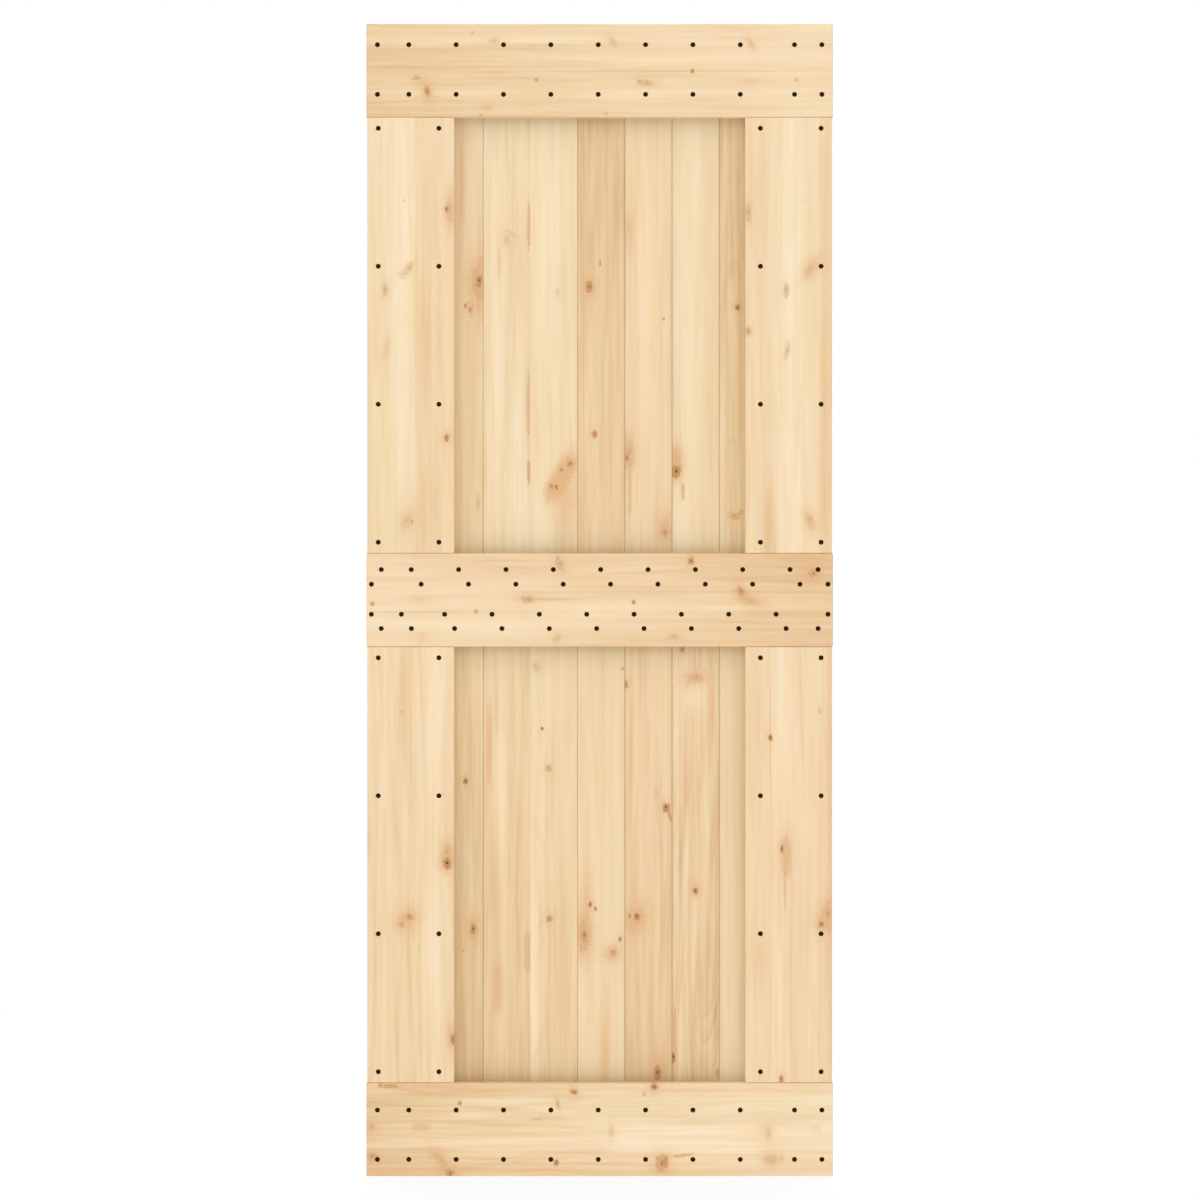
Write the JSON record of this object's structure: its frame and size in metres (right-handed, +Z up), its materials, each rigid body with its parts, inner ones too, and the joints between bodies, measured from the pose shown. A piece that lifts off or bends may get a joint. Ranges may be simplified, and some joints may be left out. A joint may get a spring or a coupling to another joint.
{
  "type": "plank sliding door leaf",
  "caption": "Solid pine sliding door leaf: upright tongue-and-groove boards behind a screwed-on front frame of rails and stiles, hung by its top rail from rollers on a track.",
  "frame": {"origin": "middle of the top rail's front face, where the hangers are bolted on", "axes": "+Z up along the boards, front towards -Y, +X to the right as seen from the front"},
  "size_m": [0.85, 0.036, 2.1],
  "materials": {
    "pine_frame": "planed, oiled",
    "pine_boards": "planed, oiled",
    "screw_steel": "black phosphate"
  },
  "bodies": {
    "root": {"top_rail": "pine_frame", "middle_rail": "pine_frame", "bottom_rail": "pine_frame", "upper_left_stile": "pine_frame", "upper_right_stile": "pine_frame", "lower_left_stile": "pine_frame", "lower_right_stile": "pine_frame", "upper_board_01": "pine_boards", "upper_board_02": "pine_boards", "upper_board_03": "pine_boards", "upper_board_04": "pine_boards", "upper_board_05": "pine_boards", "upper_board_06": "pine_boards", "upper_board_07": "pine_boards", "upper_board_08": "pine_boards", "upper_board_09": "pine_boards", "upper_board_10": "pine_boards", "upper_board_11": "pine_boards", "lower_board_01": "pine_boards", "lower_board_02": "pine_boards", "lower_board_03": "pine_boards", "lower_board_04": "pine_boards", "lower_board_05": "pine_boards", "lower_board_06": "pine_boards", "lower_board_07": "pine_boards", "lower_board_08": "pine_boards", "lower_board_09": "pine_boards", "lower_board_10": "pine_boards", "lower_board_11": "pine_boards"}
  },
  "joints": []
}
